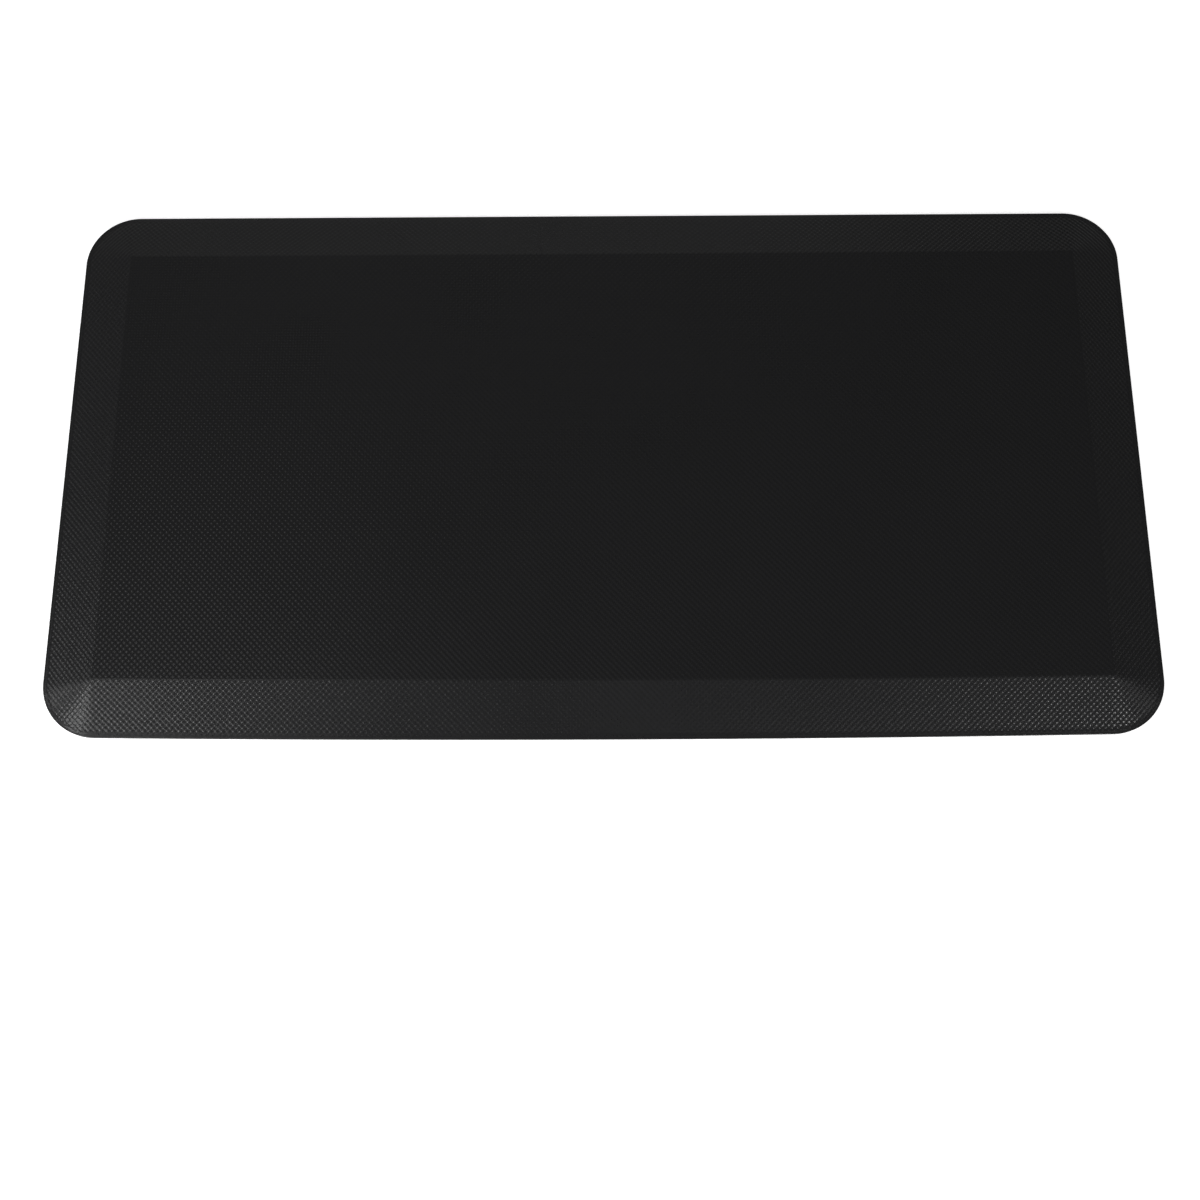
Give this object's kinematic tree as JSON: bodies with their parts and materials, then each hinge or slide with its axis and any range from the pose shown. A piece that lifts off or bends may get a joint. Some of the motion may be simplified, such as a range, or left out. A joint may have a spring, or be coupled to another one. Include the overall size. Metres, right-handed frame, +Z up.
{
  "type": "anti-fatigue mat",
  "caption": "Rectangular foam-filled floor mat for standing work, with a flat textured top panel, sloping borders, rounded corners and a flat grip underside.",
  "frame": {"origin": "centre of the underside, on the floor", "axes": "+X along the mat's length, +Y across it away from the person who stands in front of it, +Z up out of the standing surface"},
  "size_m": [0.99, 0.508, 0.019],
  "materials": {
    "base_sheet": "matte",
    "foam_core": "matte",
    "top_skin": "satin"
  },
  "bodies": {
    "root": {"base_sheet": "base_sheet", "foam_core": "foam_core", "top_skin": "top_skin"}
  },
  "joints": []
}
